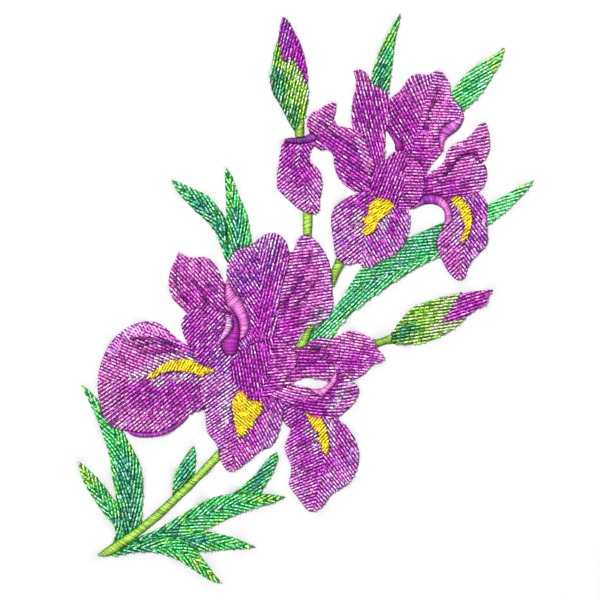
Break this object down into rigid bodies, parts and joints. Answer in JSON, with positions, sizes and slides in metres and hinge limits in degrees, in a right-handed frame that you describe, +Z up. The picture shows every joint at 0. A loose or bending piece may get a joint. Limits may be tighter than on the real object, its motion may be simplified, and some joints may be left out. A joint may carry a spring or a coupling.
{
  "type": "embroidered cloth panel",
  "caption": "Square hemmed white cloth panel, machine embroidered with a spray of purple irises, buds, stems and leaves, with backing and bobbin thread underneath.",
  "frame": {"origin": "middle of the underside of the panel, on the surface that it lies on", "axes": "+Z up out of the stitched face, +Y to the top of the design, +X to its right"},
  "size_m": [0.2, 0.2, 0.0022],
  "materials": {
    "ground_cloth": "plain-woven white cotton, matt",
    "backing": "off-white non-woven backing, matt",
    "white_thread": "fine white bobbin thread, slight sheen",
    "orchid_thread": "glossy orchid and lilac embroidery thread",
    "plum_thread": "glossy plum and violet embroidery thread",
    "lilac_thread": "glossy pale lilac embroidery thread",
    "gold_thread": "glossy golden yellow embroidery thread",
    "lime_thread": "glossy lime embroidery thread in padded satin stitch",
    "leaf_thread": "glossy green and teal embroidery thread",
    "sheath_thread": "glossy olive, lime and cream embroidery thread"
  },
  "bodies": {
    "root": {"ground_cloth": "ground_cloth", "backing": "backing", "bobbin_thread": "white_thread", "hem_thread": "white_thread", "lower_centre_style": "orchid_thread", "lower_left_crest_lining": "lilac_thread", "lower_left_crest": "orchid_thread", "lower_left_curl": "plum_thread", "lower_left_lining": "orchid_thread", "lower_centre_beard": "gold_thread", "lower_centre_fall": "orchid_thread", "lower_right_fold": "orchid_thread", "lower_right_crest": "orchid_thread", "lower_left_beard": "gold_thread", "lower_left_fall_rim": "plum_thread", "lower_left_fall": "orchid_thread", "lower_right_beard": "gold_thread", "lower_right_arm": "orchid_thread", "lower_right_fall": "orchid_thread", "lower_back_standard": "plum_thread", "lower_left_standard": "orchid_thread", "lower_right_standard": "orchid_thread", "upper_centre_style": "plum_thread", "upper_right_arch": "plum_thread", "upper_left_beard": "gold_thread", "upper_left_fall": "orchid_thread", "upper_right_crest": "orchid_thread", "upper_right_standard": "orchid_thread", "upper_right_beard": "gold_thread", "upper_right_fall": "orchid_thread", "upper_hanging_fold": "plum_thread", "upper_left_arm": "orchid_thread", "upper_hanging_fall": "orchid_thread", "upper_left_standard": "orchid_thread", "upper_back_fold": "orchid_thread", "upper_back_lining": "plum_thread", "upper_back_standard": "orchid_thread", "stem_main": "lime_thread", "stem_middle_lower": "lime_thread", "stem_middle_upper": "lime_thread", "stem_left": "lime_thread", "stem_left_bud": "lime_thread", "stem_right_bud": "lime_thread", "bud_left_petals": "plum_thread", "bud_left_sheath": "sheath_thread", "bud_right_petals": "plum_thread", "bud_right_sheath": "sheath_thread", "leaf_lower_right": "leaf_thread", "leaf_long_right": "leaf_thread", "leaf_middle_right": "leaf_thread", "leaf_behind_right": "leaf_thread", "leaf_by_stem": "leaf_thread", "leaf_outer_left": "leaf_thread", "leaf_tall_left": "leaf_thread", "leaf_pair_right": "leaf_thread", "leaf_pair_left": "leaf_thread", "leaf_top_centre": "leaf_thread", "leaf_top_right": "leaf_thread", "leaf_long_middle": "leaf_thread", "leaf_long_middle_tip": "leaf_thread"}
  },
  "joints": []
}
